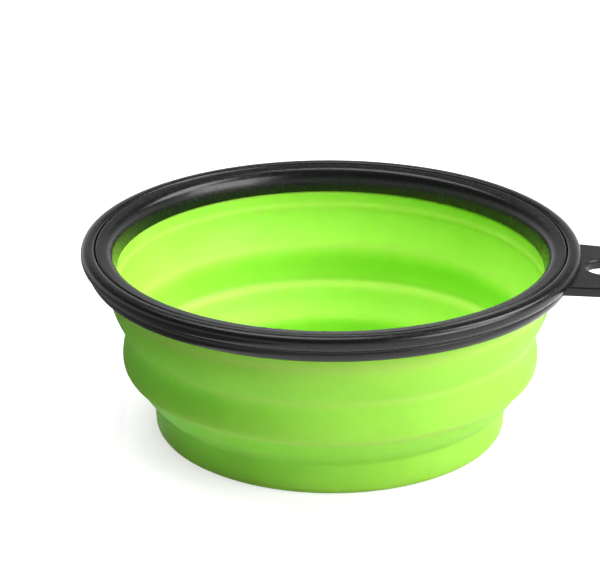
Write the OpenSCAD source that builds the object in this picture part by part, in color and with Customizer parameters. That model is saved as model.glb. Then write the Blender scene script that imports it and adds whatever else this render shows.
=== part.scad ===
// Collapsible travel bowl: a soft silicone bowl with folding wall bands, held in a
// two-part hard rim with a hanging tab. Millimetres, +Z up, standing open.
// The origin is the centre of the base underside and the tab points along +X.

/* [Overall] */
// Outer radius of the rim, which the other radii follow
rim_r = 65; // [55:0.5:75]

/* [Base] */
// How far the wall leans out between the foot and the groove at its top
base_lean = 0.3; // [0.2:0.1:1]
// Rounding of the foot edge
foot_round = 1.9; // [1:0.1:2.3]
// Thickness of the bowl floor
floor_t = 2.4; // [2.4:0.1:4]
// Height of the groove where the base band ends
groove_z = 8.8; // [7:0.1:11]

/* [Wall] */
// Thickness of the stiff wall bands
wall_t = 1.8; // [1.2:0.1:2.2]
// Thickness of the thin folding webs
fold_t = 1.2; // [0.8:0.1:1.6]
// How far the groove at the top of the base band lies inside the lower crease
lower_in = 5.6; // [5:0.1:6.4]
// Height of the lower web, from that groove to the lower crease
lower_h = 7.8; // [6.6:0.1:9]
// How far the lower web bows outwards
lower_bow = 0.6; // [0.2:0.1:0.9]
// How far the lower crease lies inside the pinch above the middle band
crease_in = 1; // [0.8:0.1:1.2]
// How far the pinch above the middle band lies inside the upper band
pinch_in = 4.7; // [4.1:0.1:5.3]
// Height of the middle band, from the lower crease to the pinch
middle_h = 10.8; // [9.4:0.1:12.6]
// How far outside the pinch the middle band turns under
turn_out = 0.7; // [0.5:0.1:0.9]
// Rise of that turn above the lower crease
turn_rise = 0.9; // [0.7:0.1:1.2]
// How far the turned-under edge runs outwards before it turns up
under_reach = 1.25; // [1:0.05:1.4]
// Rise of that edge before it turns up
under_lift = 0.4; // [0.2:0.1:0.5]
// How far the bulge of the middle band is pulled past the pinch
bulge_pull = 2.6; // [1:0.1:3]
// Rise of the bulge above the lower crease
bulge_rise = 3; // [2:0.1:5]
// Height of the sloping web between the pinch and the upper band
slope_h = 12.1; // [10:0.1:14]
// How far the curve of that web is pulled up
slope_lift = 1; // [0.4:0.1:1.6]
// How far the upper band lies inside the rim's outer edge
upper_in = 7; // [6:0.1:8]
// Height of the upper band below the rim
upper_h = 4.4; // [3:0.1:8]

/* [Rim] */
// Height of the rim
rim_h = 6.7; // [6.2:0.1:8]
// Width of the rounded flange, from its outer edge to the groove between the two rings
flange_w = 3.5; // [3:0.1:4]
// How far the foot of the inner ring stands in from the inside of the upper band
opening_step = 0.1; // [0:0.05:0.4]
// How far the inner wall leans outwards over its height
opening_draft = 1.4; // [0.6:0.1:1.8]
// Wall of the inner ring
ring_t = 1.3; // [1:0.1:1.4]
// Depth of the inner ring's top below the crown of the flange
ring_drop = 0.3; // [0:0.1:0.8]
// Thickness of the inner ring's top plate
plate_t = 1.7; // [1.2:0.1:2.2]
// Height of the flange, from its lower edge to its crown
flange_h = 3.5; // [3:0.1:4.4]
// Wall of the outer ring behind the notch under the flange
collar_t = 1.5; // [1.2:0.1:1.8]
// Thickness of the hook that holds the silicone lip from below
hook_t = 1.5; // [1:0.1:1.8]
// Rounding of the inner ring's inside edge
ring_round = 0.7; // [0.4:0.1:1]
// Rounding of the small edges beside the groove and the notch
edge_round = 0.3; // [0.2:0.05:0.4]
// How far the skirt under the flange bulges outwards
skirt_pull = 0.9; // [0.6:0.1:1.2]
// How far the foot of the skirt is drawn in
skirt_draft = 0.4; // [0.3:0.05:0.6]

/* [Tab] */
// Width of the hanging tab where it leaves the flange
tab_w = 30.4; // [26:0.1:34]
// How much nearer its middle the tab's sides are at the round end
tab_taper = 0.5; // [0:0.1:1.5]
// Thickness of the tab
tab_t = 2.6; // [2:0.1:3]
// Depth of the tab's top below the crown of the flange
tab_drop = 2; // [1.6:0.1:2.4]
// Diameter of the hole in the tab
hole_d = 10; // [6:0.1:14]
// Distance of the hole's centre from the outer edge of the flange
hole_reach = 6.4; // [6:0.1:12]
// How far outside the groove the tab's root starts inside the flange
tab_bite = 0.5; // [0.3:0.1:0.8]

/* [Clearances] */
// Gap between faces that are clamped together
seat_gap = 0.1; // [0.05:0.05:0.2]
// Gap between wall bands that move past each other
band_gap = 0.3; // [0.2:0.05:0.5]
// How far the parting of the middle band lies inside its upper edge
split_margin = 0.15; // [0.1:0.05:0.3]

/* [Hidden] */
silicone_green = [0.56, 0.87, 0.26];
rim_black = [0.09, 0.09, 0.1];
turn_fn = 192;
curve_steps = 8;
round_steps = 4;

// Heights of the wall's fold lines and of the rim
crease_z = groove_z + lower_h;
pinch_z = crease_z + middle_h;
upper_z = pinch_z + slope_h;
rim_z = upper_z + upper_h;
crown_z = rim_z + rim_h;

// Radii of the wall's fold lines, from the rim inwards
upper_r = rim_r - upper_in;
pinch_r = upper_r - pinch_in;
turn_r = pinch_r + turn_out;
crease_r = pinch_r - crease_in;
groove_r = crease_r - lower_in;
base_r = groove_r - base_lean;

// Outer radius of the leaning base wall at the top of the floor
wall_lean = (groove_r - base_r) * (floor_t - foot_round) / (groove_z - foot_round);
floor_edge_r = base_r + wall_lean;

// Height of the lower web's plumb cut where it leaves the base band
lower_cut = fold_t * norm([lower_in, lower_h]) / lower_in;

// Places where one wall curve ends and the next begins
groove = [groove_r + seat_gap, groove_z];
crease = [crease_r, crease_z];
turn = [turn_r, crease_z + turn_rise];
pinch = [pinch_r, pinch_z];
web_foot = [pinch_r, pinch_z + band_gap];
web_head = [upper_r, upper_z - band_gap];

// Points that pull those curves, in line with each other at the turn
lower_pull = (groove + crease) / 2 + 2 * lower_bow * [lower_h, -lower_in] / norm([lower_in, lower_h]);
under_pull = [crease_r + under_reach, crease_z + under_lift];
bulge_peak = [pinch_r + bulge_pull, crease_z + bulge_rise];
web_pull = [upper_r, (pinch_z + upper_z) / 2 + slope_lift];

// The middle band stays outside this radius, so it can pass the lower fold
split_r = pinch_r - wall_t - split_margin;

// Rim levels and radii
parting_r = rim_r - flange_w;
opening_r = upper_r - wall_t - opening_step;
ring_top_z = crown_z - ring_drop;
plate_z = ring_top_z - plate_t;
ring_out_r = parting_r - band_gap;
lip_foot_z = rim_z + hook_t + seat_gap;
lip_top_z = plate_z - seat_gap;
lip_out_r = parting_r - seat_gap;
neck_in_r = opening_r + ring_t + seat_gap;
neck_out_r = neck_in_r + wall_t;
hook_in_r = neck_out_r + seat_gap;
lip_in_r = neck_in_r + opening_draft;
flange_z = crown_z - flange_h;
flange_mid_z = crown_z - flange_h / 2;
crown_r = (parting_r + rim_r) / 2 - edge_round;
notch_r = parting_r + collar_t;
skirt_r = notch_r - skirt_draft;
tab_top_z = crown_z - tab_drop;
tab_end_r = tab_w / 2 - tab_taper;
hole_x = rim_r + hole_reach;

// A smooth curve from a to b, pulled towards c
function bend(a, c, b, n = curve_steps) =
    [for (i = [0:n]) let (t = i / n) (1 - t) * (1 - t) * a + 2 * t * (1 - t) * c + t * t * b];

// Unit normal at point i of a path, to the right of its direction
function side(path, i) =
    let (d = path[min(i + 1, len(path) - 1)] - path[max(i - 1, 0)])
    [d.y, -d.x] / norm(d);

// Inside face of a wall whose outside is path, with its thickness going from t0 to t1
function inside_face(path, t0, t1) =
    [for (i = [0:len(path) - 1]) path[i] - (t0 + (t1 - t0) * i / (len(path) - 1)) * side(path, i)];

// Inner corner of a wall of thickness t that is cut level at point i of its outside
function level_corner(path, i, t) = path[i] - [t / side(path, i).x, 0];

// Inner corner of such a wall that is cut plumb at point i of its outside
function plumb_corner(path, i, t) = path[i] - [0, t / side(path, i).y];

function reversed(list) = [for (i = [len(list) - 1:-1:0]) list[i]];

// A ring turned from an outline of radius and height
module turned(outline) {
    rotate_extrude($fn = turn_fn) polygon(outline);
}

// The lower web and the middle band in one piece, from the groove up to the pinch
module folding_wall() {
    web = bend(groove, lower_pull, crease);
    under = bend(crease, under_pull, turn, round_steps);
    bulge = bend(turn, bulge_peak, pinch);
    outside = concat(
        web,
        [for (i = [1:round_steps]) under[i]],
        [for (i = [1:curve_steps]) bulge[i]]
    );
    last = len(outside) - 1;
    inside = inside_face(outside, fold_t, wall_t);
    turned(concat(
        outside,
        [level_corner(outside, last, wall_t)],
        [for (i = [last - 1:-1:1]) inside[i]],
        [plumb_corner(outside, 0, fold_t)]
    ));
}

// Flat floor of the bowl with a rounded foot edge
module base_floor() {
    foot = bend([base_r - foot_round, 0], [base_r, 0], [base_r, foot_round], round_steps);
    color(silicone_green)
        turned(concat([[0, 0]], foot, [[floor_edge_r, floor_t], [0, floor_t]]));
}

// Lowest wall band, which ends at the groove
module base_band() {
    top_z = groove_z + lower_cut;
    color(silicone_green)
        turned([
            [floor_edge_r, floor_t],
            [groove_r, groove_z],
            [groove_r, top_z],
            [groove_r - wall_t, top_z],
            [floor_edge_r - wall_t, floor_t]
        ]);
}

// Sloping thin web that lets the middle band fold down round the base band
module lower_fold() {
    color(silicone_green)
        intersection() {
            folding_wall();
            cylinder(r = split_r - band_gap, h = pinch_z, $fn = turn_fn);
        }
}

// Bulging middle band
module middle_band() {
    color(silicone_green)
        difference() {
            folding_wall();
            cylinder(r = split_r, h = crown_z, $fn = turn_fn);
        }
}

// Sloping web between the pinch and the upper band, which rolls over as the bowl collapses
module upper_fold() {
    outside = bend(web_foot, web_pull, web_head);
    last = len(outside) - 1;
    inside = inside_face(outside, fold_t, wall_t);
    color(silicone_green)
        turned(concat(
            outside,
            [level_corner(outside, last, wall_t)],
            [for (i = [last - 1:-1:1]) inside[i]],
            [level_corner(outside, 0, fold_t)]
        ));
}

// Top wall band, with the thick lip that the two rim rings clamp
module upper_band() {
    inner_r = upper_r - wall_t;
    neck_lean = opening_draft * hook_t / (plate_z - rim_z);
    outline = [
        [inner_r, upper_z],
        [upper_r, upper_z],
        [neck_out_r, rim_z],
        [neck_out_r, lip_foot_z],
        [lip_out_r, lip_foot_z],
        [lip_out_r, lip_top_z],
        [lip_in_r, lip_top_z],
        [neck_in_r + neck_lean, lip_foot_z],
        [neck_in_r, rim_z - seat_gap],
        [inner_r, rim_z - seat_gap]
    ];
    color(silicone_green) turned(outline);
}

// Inner ring of the rim: the tall inside wall and the flat top beside the groove
module rim_inner_ring() {
    top_in_r = opening_r + opening_draft;
    inner_edge = bend([top_in_r, ring_top_z - ring_round], [top_in_r, ring_top_z],
                      [top_in_r + ring_round, ring_top_z], round_steps);
    outer_edge = bend([ring_out_r - edge_round, ring_top_z], [ring_out_r, ring_top_z],
                      [ring_out_r, ring_top_z - edge_round], round_steps);
    outline = concat(
        [[opening_r, rim_z]],
        inner_edge,
        outer_edge,
        [[ring_out_r, plate_z], [top_in_r + ring_t, plate_z], [opening_r + ring_t, rim_z]]
    );
    color(rim_black) turned(reversed(outline));
}

// Outline of the outer ring: round flange, notch, skirt and the hook under the lip
function outer_ring_outline() =
    let (
        bulge_r = notch_r + skirt_pull,
        skirt_mid_z = (rim_z + flange_z) / 2,
        skirt = bend([skirt_r, rim_z], [bulge_r, skirt_mid_z], [notch_r, flange_z - edge_round]),
        flange_low = bend([bulge_r, flange_z], [rim_r, flange_z + edge_round], [rim_r, flange_mid_z]),
        flange_top = bend([rim_r, flange_mid_z], [rim_r, crown_z], [crown_r, crown_z]),
        groove_side = [parting_r, ring_top_z - edge_round],
        groove_edge = bend([crown_r - edge_round, crown_z], [parting_r, crown_z], groove_side, round_steps),
        hook_z = rim_z + hook_t,
        hook = [[parting_r, hook_z], [hook_in_r, hook_z], [hook_in_r, rim_z]]
    )
    concat(skirt, flange_low, flange_top, groove_edge, hook);

// Flat outline of the tab, with sides that run into its round end
module tab_outline() {
    lean = atan2(tab_w / 2, hole_reach) - asin(tab_end_r / norm([hole_reach, tab_w / 2]));
    end_corner = tab_end_r * [sin(lean), cos(lean)];
    axis_half_w = tab_w / 2 + rim_r * tan(lean);
    difference() {
        union() {
            polygon([
                [0, axis_half_w],
                [0, -axis_half_w],
                [hole_x + end_corner.x, -end_corner.y],
                [hole_x + end_corner.x, end_corner.y]
            ]);
            translate([hole_x, 0]) circle(r = tab_end_r, $fn = turn_fn);
        }
        circle(r = parting_r + tab_bite, $fn = turn_fn);
        translate([-rim_r, 0]) square(2 * rim_r, center = true);
    }
}

// Outer ring of the rim with its hanging tab
module rim_outer_ring() {
    color(rim_black)
        difference() {
            union() {
                turned(outer_ring_outline());
                translate([0, 0, tab_top_z - tab_t]) linear_extrude(tab_t) tab_outline();
            }
            translate([hole_x, 0, 0]) cylinder(d = hole_d, h = crown_z, $fn = turn_fn);
        }
}

base_floor();
base_band();
lower_fold();
middle_band();
upper_fold();
upper_band();
rim_inner_ring();
rim_outer_ring();
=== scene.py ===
"""Looks for a collapsible silicone bowl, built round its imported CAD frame.

The bowl is one soft moulding whose wall folds as the rim is pressed down. The rim is two hard rings that
clamp the bowl's lip, and the outer ring carries a hanging tab. Lengths are metres in the frame of the CAD
part, with +Z up and the tab along +X. An outline is rows of radius and height.
"""

import logging
import math
from dataclasses import dataclass, field
from enum import Enum

import bpy
import numpy as np
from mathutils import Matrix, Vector


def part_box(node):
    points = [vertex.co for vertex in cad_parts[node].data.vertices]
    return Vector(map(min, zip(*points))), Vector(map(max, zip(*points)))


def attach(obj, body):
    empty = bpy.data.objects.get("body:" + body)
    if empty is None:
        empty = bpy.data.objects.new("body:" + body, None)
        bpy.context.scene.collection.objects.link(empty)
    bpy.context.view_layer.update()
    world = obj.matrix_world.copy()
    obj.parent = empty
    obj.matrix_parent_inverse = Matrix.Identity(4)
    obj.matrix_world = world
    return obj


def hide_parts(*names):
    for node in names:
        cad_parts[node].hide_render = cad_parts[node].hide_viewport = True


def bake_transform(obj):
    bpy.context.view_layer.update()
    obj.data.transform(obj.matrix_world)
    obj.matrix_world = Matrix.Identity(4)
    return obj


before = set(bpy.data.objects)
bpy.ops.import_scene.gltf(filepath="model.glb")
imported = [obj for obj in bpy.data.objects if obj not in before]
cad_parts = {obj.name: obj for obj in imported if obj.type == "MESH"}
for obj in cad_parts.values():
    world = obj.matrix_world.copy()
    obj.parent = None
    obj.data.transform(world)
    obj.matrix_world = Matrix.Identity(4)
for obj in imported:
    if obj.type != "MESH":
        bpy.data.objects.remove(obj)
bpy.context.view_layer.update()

LOG = logging.getLogger("bowl")

# Width of the picture in pixels and of the camera's sensor in millimetres.
IMAGE_WIDTH = 600
SENSOR_WIDTH = 36.0

# Name of the mesh attribute that marks the fold lines of the silicone, along which a pale sheen is painted.
FOLD_SHEEN_MARK = "fold"

# Range that most values of a noise lie in.
NOISE_MIDDLE = (0.3, 0.7)

Colour = tuple[float, float, float]
Point = tuple[float, float]
Face = tuple[int, ...]
Socket = bpy.types.NodeSocket

WHITE: Colour = (1.0, 1.0, 1.0)


class Body(Enum):
    """Bodies of the frame that the pieces move with."""

    BASE = "base"
    RIM = "rim"


class Slot(Enum):
    """Names of the material slots for the silicone and the rim."""

    SILICONE = "silicone"
    RIM = "rim"


class Ray(Enum):
    """Kinds of ray that see the white background of the studio."""

    CAMERA = "Is Camera Ray"
    GLOSSY = "Is Glossy Ray"
    TRANSMISSION = "Is Transmission Ray"


def opaque(colour: Colour) -> tuple[float, float, float, float]:
    """Adds full opacity to a colour."""
    return (*colour, 1.0)


def bell(offset: np.ndarray, reach: float) -> np.ndarray:
    """Gives a smooth hump that is 1 at no offset and dies away over a few times its reach."""
    return np.exp(-0.5 * (offset / reach) ** 2)


def bend(start: Point, pull: Point, end: Point, steps: int = 24) -> np.ndarray:
    """Draws a smooth curve from start to end that is pulled towards a third point.

    Args:
        start: First point.
        pull: Point that the curve leans towards.
        end: Last point.
        steps: Number of straight pieces in the curve.

    Returns:
        The points of the curve, one row each.
    """
    t = np.linspace(0.0, 1.0, steps + 1)[:, None]
    return (1 - t) ** 2 * np.array(start) + 2 * t * (1 - t) * np.array(pull) + t**2 * np.array(end)


def evenly(path: np.ndarray, step: float) -> np.ndarray:
    """Places points along an open outline at an even spacing.

    Args:
        path: Outline to follow.
        step: Spacing that is aimed for.

    Returns:
        The evenly spaced points, with both ends kept.
    """
    runs = np.linalg.norm(np.diff(path, axis=0), axis=1)
    places = np.concatenate([[0.0], np.cumsum(runs)])
    count = max(2, int(round(places[-1] / step)))
    wanted = np.linspace(0.0, places[-1], count + 1)
    return np.stack([np.interp(wanted, places, path[:, axis]) for axis in range(2)], axis=1)


def softened(path: np.ndarray, reach: float, spacing: float) -> np.ndarray:
    """Rounds the corners of an open outline as a mould does.

    Args:
        path: Outline to soften.
        reach: Length over which the outline is averaged.
        spacing: Spacing of the points that are returned.

    Returns:
        The softened outline, with both ends kept.
    """
    # The average is taken on a finer path, as far to each side as the hump counts.
    stride = 4
    tails = 3
    fine = evenly(path, spacing / stride)
    step = float(np.linalg.norm(fine[1] - fine[0]))
    half = max(1, math.ceil(tails * reach / step))
    weights = bell(np.arange(-half, half + 1) * step, reach)
    weights /= weights.sum()
    # Each end is mirrored through its last point, so that the average leaves the end where it is.
    before = 2 * fine[0] - fine[half:0:-1]
    after = 2 * fine[-1] - fine[-2 : -half - 2 : -1]
    padded = np.concatenate([before, fine, after])
    smooth = np.stack([np.convolve(padded[:, axis], weights, "valid") for axis in range(2)], axis=1)
    return evenly(smooth, spacing)


def inset(path: np.ndarray, depth: np.ndarray) -> np.ndarray:
    """Moves each point of an outline to its left by its own depth.

    Args:
        path: Outline to move.
        depth: Distance for each point.

    Returns:
        The moved points.
    """
    along = np.gradient(path, axis=0)
    along /= np.linalg.norm(along, axis=1)[:, None]
    left = np.stack([-along[:, 1], along[:, 0]], axis=1)
    return path + left * depth[:, None]


def mesh_object(name: str, points: np.ndarray, faces: list[Face]) -> bpy.types.Object:
    """Makes a smooth-shaded mesh object in the scene.

    Args:
        name: Name of the object.
        points: Vertices, one row each.
        faces: Vertex numbers of each face.

    Returns:
        The new object.
    """
    mesh = bpy.data.meshes.new(name)
    mesh.from_pydata(points.tolist(), [], faces)
    mesh.polygons.foreach_set("use_smooth", [True] * len(mesh.polygons))
    mesh.validate()
    piece = bpy.data.objects.new(name, mesh)
    bpy.context.scene.collection.objects.link(piece)
    return piece


def joined(lower: list[int], upper: list[int]) -> list[Face]:
    """Joins two rows of vertices by a band of faces that goes all the way round.

    Args:
        lower: Vertex numbers of the first row. A row that is one point repeats its number.
        upper: Vertex numbers of the second row.

    Returns:
        The faces, with three corners beside a single point and four elsewhere.
    """
    faces: list[Face] = []
    for step in range(len(lower)):
        after = (step + 1) % len(lower)
        corners = (lower[step], lower[after], upper[after], upper[step])
        faces.append(tuple(dict.fromkeys(corners)))
    return faces


def turned(name: str, outline: np.ndarray, segments: int = 192) -> bpy.types.Object:
    """Turns an outline about the Z axis.

    The outline runs with the solid on its left. One that starts and ends on the axis gives a closed body,
    and any other is joined end to start as a ring.

    Args:
        name: Name of the piece.
        outline: Outline to turn.
        segments: Number of steps round the axis.

    Returns:
        The turned object.
    """
    on_axis = 1e-9
    angles = np.arange(segments) * 2 * math.pi / segments
    circle = np.stack([np.cos(angles), np.sin(angles)], axis=1)
    points: list[np.ndarray] = []
    rows: list[list[int]] = []
    count = 0
    for radius, height in outline:
        if radius < on_axis:
            points.append(np.array([[0.0, 0.0, height]]))
            rows.append([count] * segments)
            count += 1
            continue
        points.append(np.column_stack([radius * circle, np.full(segments, height)]))
        rows.append(list(range(count, count + segments)))
        count += segments
    if outline[0][0] >= on_axis:
        rows.append(rows[0])
    faces = [face for lower, upper in zip(rows, rows[1:]) for face in joined(lower, upper)]
    return mesh_object(name, np.concatenate(points), faces)


class NodeDesk:
    """A short way to lay out the shader nodes of one material or world."""

    def __init__(self, tree: bpy.types.NodeTree) -> None:
        """Keeps the node tree that the nodes are added to."""
        self.tree = tree

    def add(
        self, kind: str, settings: dict[str, object] | None = None, **options: object
    ) -> bpy.types.Node:
        """Adds a node.

        Args:
            kind: Blender's name for the kind of node.
            settings: Values of its input sockets, by name.
            **options: Properties of the node itself.

        Returns:
            The new node.
        """
        node = self.tree.nodes.new(kind)
        for name, value in options.items():
            setattr(node, name, value)
        for name, value in (settings or {}).items():
            node.inputs[name].default_value = value
        return node

    def join(self, source: Socket, target: Socket) -> None:
        """Links one socket to another."""
        self.tree.links.new(source, target)

    def noise(self, scale: float, detail: float) -> Socket:
        """Adds a noise in the frame's own coordinates.

        Args:
            scale: Number of features per metre.
            detail: Number of finer layers.

        Returns:
            The socket with the noise's value.
        """
        place = self.add("ShaderNodeTexCoord")
        cloud = self.add("ShaderNodeTexNoise", {"Scale": scale, "Detail": detail})
        self.join(place.outputs["Object"], cloud.inputs["Vector"])
        return cloud.outputs["Fac"]

    def mix(self, share: Socket, colour: Colour) -> tuple[Socket, Socket]:
        """Adds a mix towards a colour.

        Args:
            share: Socket with the share of the colour.
            colour: Colour that is mixed in.

        Returns:
            The socket for the other colour and the socket with the result.
        """
        blend = self.add("ShaderNodeMix", data_type="RGBA")
        self.join(share, blend.inputs["Factor"])
        first, second = (socket for socket in blend.inputs if socket.type == "RGBA")
        second.default_value = opaque(colour)
        return first, next(socket for socket in blend.outputs if socket.type == "RGBA")

    def spread(self, value: Socket, low: float, high: float) -> Socket:
        """Maps the middle of a noise to a range.

        Args:
            value: Socket with the noise.
            low: Result where the noise is low.
            high: Result where the noise is high.

        Returns:
            The socket with the mapped value.
        """
        start, end = NOISE_MIDDLE
        levels = {"From Min": start, "From Max": end, "To Min": low, "To Max": high}
        span = self.add("ShaderNodeMapRange", levels)
        self.join(value, span.inputs["Value"])
        return span.outputs["Result"]

    def seen_directly(self) -> Socket:
        """Adds up the kinds of ray that see the background.

        Returns:
            A socket that is 1 for those rays and 0 for all others.
        """
        path = self.add("ShaderNodeLightPath")
        total, *others = (path.outputs[ray.value] for ray in Ray)
        for other in others:
            either = self.add("ShaderNodeMath", operation="MAXIMUM")
            self.join(total, either.inputs[0])
            self.join(other, either.inputs[1])
            total = either.outputs["Value"]
        return total


@dataclass(frozen=True)
class MouldedFinish:
    """A moulded surface with a fine grain, a cloudy change of tone and an uneven gloss.

    Attributes:
        name: Name of the material.
        deep: Darker of the two tones that the clouds mix.
        light: Lighter of the two tones.
        roughness: Lowest and highest roughness.
        cloud_scale: Clouds of tone per metre.
        gloss_scale: Patches of gloss per metre.
        grain_scale: Grains per metre.
        grain_depth: Depth of the grain.
        grain_strength: Share of the grain's depth that shows.
        ior: Index of refraction.
        shine: Level of the mirrored light, with 0.5 as the plain level.
        subsurface: Share of the light that scatters inside the material.
        subsurface_reach: How far that light travels.
        fold_sheen: Pale tone painted along the fold lines as a sheen where light catches the ridges, if the
            piece has any.
        cloud_detail: Finer layers of the clouds.
        gloss_detail: Finer layers of the gloss.
        grain_detail: Finer layers of the grain.
    """

    name: str
    deep: Colour
    light: Colour
    roughness: tuple[float, float]
    cloud_scale: float
    gloss_scale: float
    grain_scale: float
    grain_depth: float
    grain_strength: float
    ior: float
    shine: float = 0.5
    subsurface: float = 0.0
    subsurface_reach: float = 0.0
    fold_sheen: Colour | None = None
    cloud_detail: float = 3.0
    gloss_detail: float = 4.0
    grain_detail: float = 2.0

    def material(self) -> bpy.types.Material:
        """Builds the material from its nodes.

        Returns:
            The new material.
        """
        material = bpy.data.materials.new(self.name)
        material.use_nodes = True
        material.diffuse_color = opaque(self.light)
        desk = NodeDesk(material.node_tree)
        surface = material.node_tree.nodes["Principled BSDF"]
        surface.inputs["IOR"].default_value = self.ior
        surface.inputs["Specular IOR Level"].default_value = self.shine
        surface.inputs["Subsurface Weight"].default_value = self.subsurface
        surface.inputs["Subsurface Scale"].default_value = self.subsurface_reach
        surface.inputs["Subsurface Radius"].default_value = self.light

        cloud = desk.spread(desk.noise(self.cloud_scale, self.cloud_detail), 0.0, 1.0)
        first, mixed = desk.mix(cloud, self.light)
        first.default_value = opaque(self.deep)
        # Painted highlight: the base colour pales along the fold ridges, as a sheen where light catches
        # them.
        if self.fold_sheen is not None:
            mark = desk.add("ShaderNodeAttribute", attribute_name=FOLD_SHEEN_MARK)
            unsheened, sheened = desk.mix(mark.outputs["Fac"], self.fold_sheen)
            desk.join(mixed, unsheened)
            mixed = sheened
        desk.join(mixed, surface.inputs["Base Color"])

        gloss = desk.spread(desk.noise(self.gloss_scale, self.gloss_detail), *self.roughness)
        desk.join(gloss, surface.inputs["Roughness"])

        grain = {"Strength": self.grain_strength, "Distance": self.grain_depth}
        relief = desk.add("ShaderNodeBump", grain)
        desk.join(desk.noise(self.grain_scale, self.grain_detail), relief.inputs["Height"])
        desk.join(relief.outputs["Normal"], surface.inputs["Normal"])
        return material


@dataclass(frozen=True)
class MatteFinish:
    """A plain matte surface of the studio, which may glow where the background is seen.

    Attributes:
        name: Name of the material.
        shade: Grey of the surface, from 0 for black to 1 for white.
        glow: Strength that is added for the rays that see the background.
        roughness: Roughness of the surface.
    """

    name: str
    shade: float
    glow: float = 0.0
    roughness: float = 0.9

    def material(self) -> bpy.types.Material:
        """Builds the material from its nodes.

        Returns:
            The new material.
        """
        material = bpy.data.materials.new(self.name)
        material.use_nodes = True
        surface = material.node_tree.nodes["Principled BSDF"]
        surface.inputs["Base Color"].default_value = opaque((self.shade,) * 3)
        surface.inputs["Roughness"].default_value = self.roughness
        if self.glow > 0:
            desk = NodeDesk(material.node_tree)
            surface.inputs["Emission Color"].default_value = opaque(WHITE)
            strength = desk.add("ShaderNodeMath", operation="MULTIPLY")
            strength.inputs[1].default_value = self.glow
            desk.join(desk.seen_directly(), strength.inputs[0])
            desk.join(strength.outputs["Value"], surface.inputs["Emission Strength"])
        return material


SILICONE_FINISH = MouldedFinish(
    name="satin_green_silicone",
    deep=(0.345, 0.700, 0.066),
    light=(0.395, 0.755, 0.086),
    roughness=(0.50, 0.60),
    cloud_scale=45.0,
    gloss_scale=240.0,
    grain_scale=2600.0,
    grain_depth=0.00006,
    grain_strength=0.10,
    ior=1.41,
    shine=0.3,
    subsurface=0.6,
    subsurface_reach=0.004,
    # Pale tone painted along the fold ridges as a sheen, where light catches them.
    fold_sheen=(0.450, 0.722, 0.110),
)
RIM_FINISH = MouldedFinish(
    name="black_moulded_plastic",
    deep=(0.0036, 0.0038, 0.0042),
    light=(0.0060, 0.0063, 0.0068),
    roughness=(0.20, 0.30),
    cloud_scale=70.0,
    gloss_scale=420.0,
    grain_scale=3400.0,
    grain_depth=0.00004,
    grain_strength=0.10,
    ior=1.40,
)
FLOOR_FINISH = MatteFinish("pale_floor", shade=0.55, glow=0.66)
CARD_FINISH = MatteFinish("dark_card", shade=0.14)


def dress(piece: bpy.types.Object, finish: bpy.types.Material) -> None:
    """Gives a piece its material.

    Args:
        piece: Object to dress.
        finish: Its material.
    """
    piece.data.materials.clear()
    piece.data.materials.append(finish)


def flat_sheet(name: str, corners: list[Vector], finish: MatteFinish) -> bpy.types.Object:
    """Lays a flat sheet with four corners.

    Args:
        name: Name of the sheet.
        corners: Its corners in order.
        finish: Its finish.

    Returns:
        The sheet.
    """
    sheet = mesh_object(name, np.array(corners), [(0, 1, 2, 3)])
    sheet.data.materials.append(finish.material())
    return sheet


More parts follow.
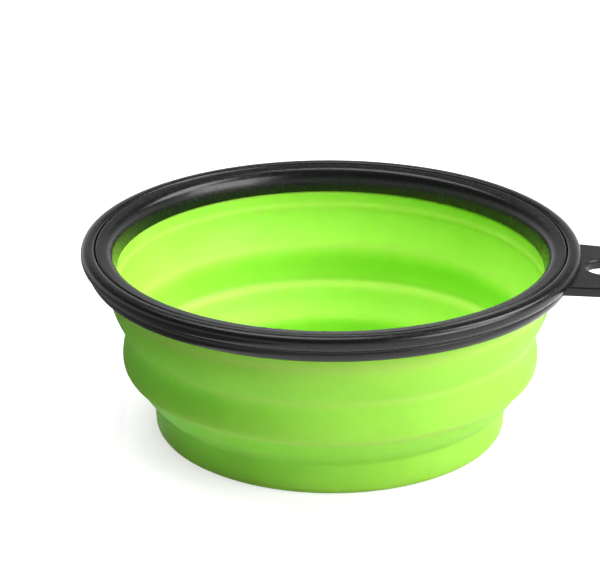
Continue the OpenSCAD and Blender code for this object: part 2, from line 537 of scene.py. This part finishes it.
@dataclass
class SiliconeBowl:
    """The soft bowl: one moulding from its floor to the lip that the rim clamps.

    From the foot up, the outside runs along the base band to the groove, over the lower web to the crease,
    round the bulge to the pinch, along the slope of the upper web to the upper band, and up to the rim.
    Fields without a value here follow from the frame.

    Attributes:
        wall: Thickness of the bands.
        web: Thickness of the webs.
        foot_round: Round of the foot's edge.
        base_lean: How much narrower the foot is than the groove.
        lower_in: How far the groove lies inside the crease.
        lower_rise: Height of the lower web.
        lower_bow: How far the lower web bows outwards.
        crease_in: How far the crease lies inside the pinch.
        under_reach: How far out from the crease the underside of the bulge is pulled.
        under_lift: How far above the crease that pull lies.
        turn_out: How far outside the pinch the bulge starts.
        turn_rise: How far above the crease the bulge starts.
        pinch_in: How far the pinch lies inside the upper band.
        bulge_pull: How far outside the pinch the bulge is pulled.
        bulge_rise: How far above the crease that pull lies.
        slope_lift: How far above its middle the slope is pulled.
        pinch_soft: Points on each side that the pinch is rounded over.
        floor_fillet: Round between the inside of the wall and the floor.
        corner_lean: How far inside the wall the corner of that round lies.
        ridge_rise: Height of the small ridge inside, at the foot of the upper band.
        ridge_reach: Spread of the ridge.
        fold_sheen_reach: Spread of the pale sheen painted along the fold lines.
        fold_lift: How far above the pinch its fold line lies.
        neck_flare: How much wider the wall is at the rim than at the foot of the upper band.
        neck_lean: How far the inside of the lip leans outwards.
        hook: Height from the rim's foot to the step under the lip.
        corner_reach: Spread of the rounding at corners.
        spacing: Spacing of the points along the outline.
        floor_steps: Rings of faces across the floor.
    """

    wall: float = 0.0018
    web: float = 0.0012
    foot_round: float = 0.0019
    base_lean: float = 0.0003
    lower_in: float = 0.0056
    lower_rise: float = 0.0078
    lower_bow: float = 0.0006
    crease_in: float = 0.001
    under_reach: float = 0.00125
    under_lift: float = 0.0004
    turn_out: float = 0.0007
    turn_rise: float = 0.0009
    pinch_in: float = 0.0047
    bulge_pull: float = 0.0026
    bulge_rise: float = 0.003
    slope_lift: float = 0.001
    pinch_soft: int = 5
    floor_fillet: float = 0.0024
    corner_lean: float = 0.000075
    ridge_rise: float = 0.0003
    ridge_reach: float = 0.0006
    fold_sheen_reach: float = 0.0009
    fold_lift: float = 0.0013
    neck_flare: float = 0.0013
    neck_lean: float = 0.0014
    hook: float = 0.0016
    corner_reach: float = 0.0003
    spacing: float = 0.0005
    floor_steps: int = 5
    upper_radius: float = field(init=False)
    upper_height: float = field(init=False)
    pinch_height: float = field(init=False)
    groove_height: float = field(init=False)
    crease_height: float = field(init=False)
    rim_height: float = field(init=False)
    floor_height: float = field(init=False)
    lip_radius: float = field(init=False)
    lip_height: float = field(init=False)

    def __post_init__(self) -> None:
        """Reads the heights and radii of the fold lines from the frame."""
        self.upper_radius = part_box("upper_fold")[1].y
        self.upper_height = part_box("upper_band")[0].z
        self.pinch_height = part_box("middle_band")[1].z
        self.groove_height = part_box("lower_fold")[0].z
        self.crease_height = self.groove_height + self.lower_rise
        self.rim_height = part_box("rim_inner_ring")[0].z
        self.floor_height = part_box("base_floor")[1].z
        self.lip_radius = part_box("upper_band")[1].y
        self.lip_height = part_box("upper_band")[1].z

    def outside(self) -> np.ndarray:
        """Draws the outside of the wall from the foot to the underside of the rim.

        Returns:
            The points of the outside, from the foot upwards.
        """
        pinch_radius = self.upper_radius - self.pinch_in
        crease_radius = pinch_radius - self.crease_in
        groove_radius = crease_radius - self.lower_in
        base_radius = groove_radius - self.base_lean
        crease = (crease_radius, self.crease_height)
        groove = (groove_radius, self.groove_height)
        turn = (pinch_radius + self.turn_out, self.crease_height + self.turn_rise)
        pinch = (pinch_radius, self.pinch_height)
        head = (self.upper_radius, self.upper_height)
        # A curve bows half as far as it is pulled, here square to the straight run of the web.
        lower_run = math.hypot(self.lower_in, self.lower_rise)
        lower_pull = (
            (groove_radius + crease_radius) / 2 + 2 * self.lower_bow * self.lower_rise / lower_run,
            (self.groove_height + self.crease_height) / 2 - 2 * self.lower_bow * self.lower_in / lower_run,
        )
        slope_middle = (self.pinch_height + self.upper_height) / 2
        under_pull = (crease_radius + self.under_reach, self.crease_height + self.under_lift)
        bulge_pull = (pinch_radius + self.bulge_pull, self.crease_height + self.bulge_rise)
        sole_edge = (base_radius - self.foot_round, 0.0)
        foot = bend(sole_edge, (base_radius, 0.0), (base_radius, self.foot_round))
        lower = bend(groove, lower_pull, crease)
        under = bend(crease, under_pull, turn)
        bulge = bend(turn, bulge_pull, pinch)
        slope = bend(pinch, (self.upper_radius, slope_middle + self.slope_lift), head)
        neck = np.array([[self.upper_radius + self.neck_flare, self.rim_height]])
        soft = bend(bulge[-1 - self.pinch_soft], pinch, slope[self.pinch_soft])
        folds = [under[1:], bulge[1 : -1 - self.pinch_soft], soft, slope[self.pinch_soft + 1 :]]
        corners = np.concatenate([foot, lower, *folds, neck])
        return softened(corners, self.corner_reach, self.spacing)

    def inside(self, outside: np.ndarray) -> np.ndarray:
        """Draws the inside of the wall from the foot of the rim's inner ring down to the floor.

        Args:
            outside: Outside of the wall, from the foot upwards.

        Returns:
            The points of the inside, from the top downwards.
        """
        heights = outside[:, 1]
        thickness_at = {
            self.groove_height: self.wall,
            (self.groove_height + self.crease_height) / 2: self.web,
            self.crease_height: self.web,
            self.crease_height + self.bulge_rise: self.wall,
            self.pinch_height: self.web,
            self.upper_height: self.wall,
        }
        depth = np.interp(heights, list(thickness_at), list(thickness_at.values()))
        ridge = bell(heights - self.upper_height, self.ridge_reach)
        face = inset(outside, depth + self.ridge_rise * ridge)
        top = self.rim_height - self.spacing / 2
        wall_radius = self.upper_radius - self.wall
        face = face[(face[:, 1] > self.floor_height + self.floor_fillet) & (face[:, 1] < top)]
        face = face[face[:, 0] < wall_radius + self.ridge_rise]
        low_radius, low_height = face[0]
        corner = (low_radius - self.corner_lean, self.floor_height)
        floor_edge = (corner[0] - self.floor_fillet, self.floor_height)
        fillet = bend(floor_edge, corner, (low_radius, low_height))
        path = np.concatenate([fillet[:-1], face, [[wall_radius, top]]])
        return softened(path, self.corner_reach, self.spacing)[::-1]

    def lip(self) -> np.ndarray:
        """Draws the lip between the two rim rings.

        Returns:
            The points of the lip, from the outside over the top to the inside.
        """
        neck_out = self.upper_radius + self.neck_flare
        neck_inner = neck_out - self.wall
        foot = self.rim_height + self.hook
        corners = np.array([
            [neck_out, self.rim_height],
            [neck_out, foot],
            [self.lip_radius, foot],
            [self.lip_radius, self.lip_height],
            [neck_inner + self.neck_lean, self.lip_height],
            [neck_inner, self.rim_height - self.spacing / 2],
        ])
        return softened(corners, self.corner_reach / 2, self.spacing)

    def mark_fold_sheen(self, piece: bpy.types.Object) -> None:
        """Marks how near each point lies to a fold line, where a pale sheen is painted on the silicone.

        Args:
            piece: The bowl, at rest.
        """
        heights = np.array([vertex.co.z for vertex in piece.data.vertices])
        upper_fold = self.upper_height
        pinch_fold = self.pinch_height + self.fold_lift
        crease_fold = self.crease_height + self.turn_rise
        near = sum(bell(heights - fold, self.fold_sheen_reach) for fold in (upper_fold, pinch_fold, crease_fold))
        marks = piece.data.attributes.new(FOLD_SHEEN_MARK, "FLOAT", "POINT")
        marks.data.foreach_set("value", near)

    def build(self, finish: bpy.types.Material) -> bpy.types.Object:
        """Turns the bowl, marks its fold lines and dresses it.

        Args:
            finish: Material of the silicone.

        Returns:
            The bowl.
        """
        outside = self.outside()
        inside = self.inside(outside)
        floor_rings = np.linspace(0.0, 1.0, self.floor_steps + 1)[:, None]
        underside = floor_rings[:-1] * np.array([outside[0]])
        top_centre = np.array([0.0, self.floor_height])
        floor = (1 - floor_rings[1:]) * (inside[-1] - top_centre) + top_centre
        outline = np.concatenate([underside, outside, self.lip()[1:], inside, floor])
        piece = turned("silicone_bowl", outline)
        self.mark_fold_sheen(piece)
        dress(piece, finish)
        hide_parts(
            "base_floor", "base_band", "lower_fold", "middle_band", "upper_fold", "upper_band"
        )
        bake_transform(piece)
        return piece


@dataclass
class Rim:
    """The hard rim: an outer ring with a flange and a skirt, and an inner ring with the inside wall.

    The two rings meet in a fine groove on top, the parting. Fields without a value here follow from the
    frame.

    Attributes:
        flange_width: Width of the flange outside the parting.
        flange_height: Height of the flange.
        collar: How far outside the parting the notch under the flange lies.
        skirt_pull: How far outside the notch the skirt is pulled.
        skirt_draft: How far the skirt's foot is drawn in.
        notch_drop: How far the top of the skirt lies below the flange.
        hook: Height of the hook that holds the lip.
        hook_in: How far the hook reaches in from the rim's outside.
        edge: Size of the small rounds along edges.
        ring_wall: Thickness of the inner ring's wall, apart from what stands proud.
        ring_draft: How far the back of that wall leans outwards.
        ring_in: How far the inner ring's wall lies inside the rim's outside.
        ring_proud: How far the face of the wall stands proud at its foot.
        ring_flat: Width of the inner ring's top, up to its round.
        ring_tilt: How far the top falls over that width.
        ring_pull: How far below the top its round is pulled.
        ring_plate: Thickness of the plate under the top.
        ring_seal: How far the plate reaches across the groove, to close it below.
        seal_height: Height of that reach.
        foot_edge: Size of the edge at the wall's foot.
        corner_reach: Spread of the rounding at corners.
        spacing: Spacing of the points along the outlines.
    """

    flange_width: float = 0.0035
    flange_height: float = 0.0035
    collar: float = 0.0015
    skirt_pull: float = 0.0009
    skirt_draft: float = 0.0004
    notch_drop: float = 0.0006
    hook: float = 0.0015
    hook_in: float = 0.0056
    edge: float = 0.0003
    ring_wall: float = 0.0013
    ring_draft: float = 0.0014
    ring_in: float = 0.0089
    ring_proud: float = 0.00035
    ring_flat: float = 0.0025
    ring_tilt: float = 0.0002
    ring_pull: float = 0.0003
    ring_plate: float = 0.0017
    ring_seal: float = 0.00018
    seal_height: float = 0.0006
    foot_edge: float = 0.0002
    corner_reach: float = 0.00009
    spacing: float = 0.0003
    radius: float = field(init=False)
    foot_height: float = field(init=False)
    crown_height: float = field(init=False)
    ring_height: float = field(init=False)
    ring_radius: float = field(init=False)

    def __post_init__(self) -> None:
        """Reads the rim's outer sizes from the frame."""
        self.radius = -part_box("rim_outer_ring")[0].y
        self.crown_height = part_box("rim_outer_ring")[1].z
        self.foot_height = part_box("rim_inner_ring")[0].z
        self.ring_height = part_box("rim_inner_ring")[1].z
        self.ring_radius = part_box("rim_inner_ring")[1].y

    def outer_outline(self) -> np.ndarray:
        """Draws the skirt, the notch, the flange and the hook under the lip.

        Returns:
            The points of the outer ring.
        """
        parting = self.radius - self.flange_width
        notch = parting + self.collar
        bulge = notch + self.skirt_pull
        low = self.crown_height - self.flange_height
        middle = self.crown_height - self.flange_height / 2
        top = (parting + self.radius) / 2 - self.edge
        hook_radius = self.radius - self.hook_in
        hook_height = self.foot_height + self.hook
        skirt_middle = (self.foot_height + low) / 2
        skirt_foot = (notch - self.skirt_draft, self.foot_height)
        skirt = bend(skirt_foot, (bulge, skirt_middle), (notch, low - self.notch_drop))
        lower = bend((bulge, low), (self.radius, low + self.edge), (self.radius, middle))
        upper = bend((self.radius, middle), (self.radius, self.crown_height), (top, self.crown_height))
        groove_top = (top - self.edge, self.crown_height)
        groove_foot = (parting, self.ring_height - self.edge)
        groove = bend(groove_top, (parting, self.crown_height), groove_foot)
        hook = np.array([
            [parting, hook_height],
            [hook_radius, hook_height],
            [hook_radius, self.foot_height],
        ])
        return self.closed(np.concatenate([skirt, lower, upper[1:], groove, hook, skirt[:1]]))

    def inner_outline(self) -> np.ndarray:
        """Draws the inner ring, whose top rounds over from the groove into its inside wall.

        Returns:
            The points of the inner ring.
        """
        back = self.radius - self.ring_in + self.ring_wall
        foot = self.radius - self.ring_in - self.ring_proud
        plate = self.ring_height - self.ring_plate
        seal = self.ring_radius + self.ring_seal
        flat_end = (self.ring_radius - self.ring_flat, self.ring_height - self.ring_tilt)
        edge_foot = (self.ring_radius, self.ring_height - self.edge)
        edge_top = (self.ring_radius - self.edge, self.ring_height)
        outer_edge = bend(edge_foot, (self.ring_radius, self.ring_height), edge_top)
        pull = (foot + self.edge, flat_end[1] - self.ring_pull)
        wall = bend(flat_end, pull, (foot, self.foot_height + self.foot_edge))
        start = np.array([
            [back, self.foot_height],
            [back + self.ring_draft, plate],
            [seal, plate],
            [seal, plate + self.seal_height],
        ])
        end = np.array([[foot + self.foot_edge, self.foot_height]])
        return self.closed(np.concatenate([start, outer_edge, wall, end, start[:1]]))

    def closed(self, path: np.ndarray) -> np.ndarray:
        """Softens a closed outline and leaves off its repeated last point."""
        return softened(path, self.corner_reach, self.spacing)[:-1]

    def build(self, finish: bpy.types.Material) -> list[bpy.types.Object]:
        """Turns both rings and dresses them.

        Args:
            finish: Material of the hard plastic.

        Returns:
            The outer and the inner ring.
        """
        rings = [
            turned("rim_outer_moulding", self.outer_outline()),
            turned("rim_inner_moulding", self.inner_outline()),
        ]
        for piece, node in zip(rings, ("rim_outer_ring", "rim_inner_ring")):
            dress(piece, finish)
            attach(piece, Body.RIM.value)
            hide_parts(node)
        return rings


@dataclass
class HangingTab:
    """The flat tab with a round hole that stands out from the rim's outer ring.

    Its sides lean in from the root and run into a round end about the hole. Fields without a value here
    follow from the frame.

    Attributes:
        drop: How far the top of the tab lies below the top of the rim.
        thickness: Thickness of the tab.
        width: Width of the tab at the rim's outside.
        hole_radius: Radius of the hole.
        hole_reach: How far outside the rim the middle of the hole lies.
        root_in: How far the tab runs into the rim.
        edge: Radius of the round along every edge.
        support: Width of the narrow strip beside each round, which keeps the flats looking flat.
        edge_steps: Steps of each round.
        segments: Steps round the hole.
        grazing: Least cosine that a side is measured at.
    """

    drop: float = 0.002
    thickness: float = 0.0026
    width: float = 0.0304
    hole_radius: float = 0.005
    hole_reach: float = 0.0064
    root_in: float = 0.0028
    edge: float = 0.00045
    support: float = 0.0001
    edge_steps: int = 5
    segments: int = 256
    grazing: float = 1e-3
    radius: float = field(init=False)
    top: float = field(init=False)
    hole_x: float = field(init=False)
    end_radius: float = field(init=False)

    def __post_init__(self) -> None:
        """Reads the place of the tab from the frame."""
        low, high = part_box("rim_outer_ring")
        self.radius = -low.y
        self.top = high.z - self.drop
        self.hole_x = self.radius + self.hole_reach
        self.end_radius = high.x - self.hole_x

    def reach(self, angles: np.ndarray, inwards: float) -> np.ndarray:
        """Measures from the middle of the hole to the tab's outline.

        Args:
            angles: Directions to measure in.
            inwards: How far inside the full outline the measured one lies.

        Returns:
            The distance in each direction.
        """
        half = self.width / 2
        corner_reach = math.hypot(half, self.hole_reach)
        lean = math.atan2(half, self.hole_reach) - math.asin(self.end_radius / corner_reach)
        end = self.end_radius - inwards
        turned_to = np.abs((angles + math.pi) % (2 * math.pi) - math.pi)
        # A straight side touches the round end and runs on from there towards the rim.
        side_angle = math.pi / 2 - lean
        facing = np.cos(turned_to - side_angle)
        side = np.where(turned_to > side_angle, end / np.maximum(facing, self.grazing), end)
        # The root ends on a circle inside the rim.
        root = self.radius - self.root_in
        across = self.hole_x * np.cos(turned_to)
        inside = np.maximum(across**2 - self.hole_x**2 + root**2, 0.0)
        to_root = np.where(inside > 0, -across - np.sqrt(inside), np.inf)
        return np.where(turned_to > math.pi / 2, np.minimum(side, to_root), side)

    def section(self) -> list[tuple[bool, float, float]]:
        """Lists the rows of the tab's skin, from the hole over the top and round the edge to the underside.

        Returns:
            Rows of whether the row follows the outline or the hole, how far it is set in, and its height.
        """
        bottom = self.top - self.thickness
        flat = self.edge + self.support
        turns = np.linspace(0.0, math.pi / 2, self.edge_steps + 1)
        rounding = [(self.edge * (1 - math.cos(a)), self.edge * (1 - math.sin(a))) for a in turns]
        hole_top = [(False, away, self.top - depth) for away, depth in rounding]
        rim_top = [(True, away, self.top - depth) for away, depth in rounding[::-1]]
        rim_low = [(True, away, bottom + depth) for away, depth in rounding]
        hole_low = [(False, away, bottom + depth) for away, depth in rounding[::-1]]
        top_flat = [(False, flat, self.top), (True, flat, self.top)]
        low_flat = [(True, flat, bottom), (False, flat, bottom)]
        return hole_top + top_flat + rim_top + rim_low + low_flat + hole_low

    def build(self, finish: bpy.types.Material) -> bpy.types.Object:
        """Builds the tab round its hole and dresses it.

        Args:
            finish: Material of the hard plastic.

        Returns:
            The tab.
        """
        angles = np.arange(self.segments) * 2 * math.pi / self.segments
        rows: list[np.ndarray] = []
        for on_outline, inwards, height in self.section():
            hole = np.full(self.segments, self.hole_radius + inwards)
            distance = self.reach(angles, inwards) if on_outline else hole
            x = self.hole_x + distance * np.cos(angles)
            y = distance * np.sin(angles)
            rows.append(np.column_stack([x, y, np.full(self.segments, height)]))
        numbers = np.arange(len(rows) * self.segments).reshape(len(rows), self.segments).tolist()
        pairs = zip(numbers, numbers[1:] + numbers[:1])
        faces = [face for row, following in pairs for face in joined(following, row)]
        piece = mesh_object("hanging_tab", np.concatenate(rows), faces)
        dress(piece, finish)
        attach(piece, Body.RIM.value)
        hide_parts("rim_outer_ring")
        return piece


@dataclass(frozen=True)
class SoftBox:
    """A flat lamp that faces the bowl.

    Attributes:
        name: Name of the lamp.
        azimuth: Degrees to the right of the camera's side.
        elevation: Degrees above the floor.
        power: Power in watts.
        distance: Distance from the aim point.
        width: Width of the lamp.
        height: Height of the lamp.
        mirrored: Whether shiny pieces mirror the lamp.
    """

    name: str
    azimuth: float
    elevation: float
    power: float
    distance: float = 0.9
    width: float = 0.45
    height: float = 0.45
    mirrored: bool = True


@dataclass
class Studio:
    """The pale floor, the dark card, the white surroundings, the lamps and the camera.

    Attributes:
        turn: Degrees that the camera stands round from -Y, towards the tab.
        camera_elevation: Degrees that the camera stands above the floor.
        camera_distance: Distance of the camera from the aim point.
        focal_pixels: Focal length in pixels of the picture.
        aim: Point that the camera and the lamps face.
        floor_size: Length of the floor's sides.
        sky_white: Level of the surroundings near the horizon, as the background shows them.
        sky_dim: Level overhead, as the background shows it.
        sky_fade: Degrees above the horizon between which the one fades into the other.
        sky_light: Level at which the surroundings light the bowl.
        card_azimuth: Side on which the card lies.
        card_side: Distances of the card's near and far edge from the bowl's axis.
        card_half: Half of the card's length.
        card_lift: Height of the card above the floor.
        lamps: Lamps round the bowl.
    """

    turn: float = 10.8
    camera_elevation: float = 22.32
    camera_distance: float = 0.65
    focal_pixels: float = 2475.0
    aim: tuple[float, float, float] = (-0.00784, -0.0015, 0.03674)
    floor_size: float = 6.0
    sky_white: float = 1.0
    sky_dim: float = 0.08
    sky_fade: tuple[float, float] = (10.0, 26.0)
    sky_light: float = 0.16
    card_azimuth: float = -90.0
    card_side: tuple[float, float] = (0.055, 0.36)
    card_half: float = 0.28
    card_lift: float = 0.0005
    lamps: tuple[SoftBox, ...] = (
        SoftBox("key_lamp", azimuth=62.0, elevation=28.0, distance=0.8, width=0.6, height=0.45, power=6.4),
        SoftBox("side_lamp", azimuth=108.0, elevation=48.0, power=5.5),
        SoftBox("back_lamp", azimuth=195.0, elevation=63.0, power=2.5),
        SoftBox("top_lamp", azimuth=-90.0, elevation=76.0, width=0.4, height=0.4, power=7.2, mirrored=False),
    )

    def direction(self, azimuth: float, elevation: float) -> Vector:
        """Points from the bowl towards a place in the studio.

        Args:
            azimuth: Degrees to the right of the camera's side.
            elevation: Degrees above the floor.

        Returns:
            A unit vector.
        """
        turned_by = math.radians(azimuth + self.turn)
        up = math.radians(elevation)
        level = math.cos(up)
        return Vector((math.sin(turned_by) * level, -math.cos(turned_by) * level, math.sin(up)))

    def place(self, item: bpy.types.Object, away: Vector) -> None:
        """Puts a lamp or camera off the aim point and turns it to face it.

        Args:
            item: Lamp or camera to place.
            away: Way from the aim point to its place.
        """
        item.location = Vector(self.aim) + away
        item.rotation_euler = (-away).to_track_quat("-Z", "Y").to_euler()
        bpy.context.scene.collection.objects.link(item)

    def build_camera(self) -> None:
        """Sets the camera to the view of the photograph."""
        data = bpy.data.cameras.new("camera")
        data.sensor_fit = "HORIZONTAL"
        data.sensor_width = SENSOR_WIDTH
        data.lens = self.focal_pixels * SENSOR_WIDTH / IMAGE_WIDTH
        camera = bpy.data.objects.new("camera", data)
        self.place(camera, self.direction(0.0, self.camera_elevation) * self.camera_distance)
        bpy.context.scene.camera = camera

    def build_lamps(self) -> None:
        """Hangs the lamps round the bowl."""
        for lamp in self.lamps:
            data = bpy.data.lights.new(lamp.name, "AREA")
            data.shape = "RECTANGLE"
            data.size = lamp.width
            data.size_y = lamp.height
            data.energy = lamp.power
            item = bpy.data.objects.new(lamp.name, data)
            item.visible_glossy = lamp.mirrored
            self.place(item, self.direction(lamp.azimuth, lamp.elevation) * lamp.distance)

    def build_sky(self) -> None:
        """Makes surroundings that light the bowl evenly.

        The background shows them white near the horizon and dim overhead.
        """
        world = bpy.data.worlds.new("studio")
        world.use_nodes = True
        bpy.context.scene.world = world
        desk = NodeDesk(world.node_tree)
        background = world.node_tree.nodes["Background"]
        background.inputs["Color"].default_value = opaque(WHITE)
        outlook = desk.add("ShaderNodeTexCoord")
        parts = desk.add("ShaderNodeSeparateXYZ")
        desk.join(outlook.outputs["Generated"], parts.inputs["Vector"])
        low, high = (math.sin(math.radians(angle)) for angle in self.sky_fade)
        levels = {"From Min": low, "From Max": high, "To Min": self.sky_white, "To Max": self.sky_dim}
        fade = desk.add("ShaderNodeMapRange", levels, interpolation_type="SMOOTHSTEP")
        desk.join(parts.outputs["Z"], fade.inputs["Value"])
        level = desk.add("ShaderNodeMapRange", {"To Min": self.sky_light})
        desk.join(desk.seen_directly(), level.inputs["Value"])
        desk.join(fade.outputs["Result"], level.inputs["To Max"])
        desk.join(level.outputs["Result"], background.inputs["Strength"])

    def build_floor(self) -> None:
        """Lays a pale floor that keeps the bowl's shadow."""
        half = self.floor_size / 2
        places = ((-half, -half), (half, -half), (half, half), (-half, half))
        floor = flat_sheet("studio_floor", [Vector((x, y, 0.0)) for x, y in places], FLOOR_FINISH)

    def build_card(self) -> None:
        """Lays a dark card beside the bowl, which the camera doesn't see.

        It throws back less light than the floor does, and so keeps that side of the bowl in shade.
        """
        left = self.direction(self.card_azimuth, 0.0)
        front = self.direction(0.0, 0.0)
        lift = Vector((0.0, 0.0, self.card_lift))
        near, far = self.card_side
        half = self.card_half
        places = ((near, -half), (near, half), (far, half), (far, -half))
        corners = [left * side + front * depth + lift for side, depth in places]
        card = flat_sheet("shade_card", corners, CARD_FINISH)
        card.visible_camera = False
        card.visible_shadow = False

    def build(self) -> None:
        """Builds the whole studio."""
        self.build_floor()
        self.build_card()
        self.build_sky()
        self.build_lamps()
        self.build_camera()
        bpy.context.scene.view_settings.view_transform = "Standard"


def report(piece: bpy.types.Object) -> None:
    """Logs a finished piece with the size of its mesh."""
    LOG.info("%s: %d faces", piece.name, len(piece.data.polygons))


def main() -> None:
    """Builds the bowl, its rim and the studio in order."""
    logging.basicConfig(level=logging.INFO, format="%(name)s: %(message)s")
    silicone = SILICONE_FINISH.material()
    plastic = RIM_FINISH.material()
    report(SiliconeBowl().build(silicone))
    for ring in Rim().build(plastic):
        report(ring)
    report(HangingTab().build(plastic))
    Studio().build()


if __name__ == "__main__":
    main()
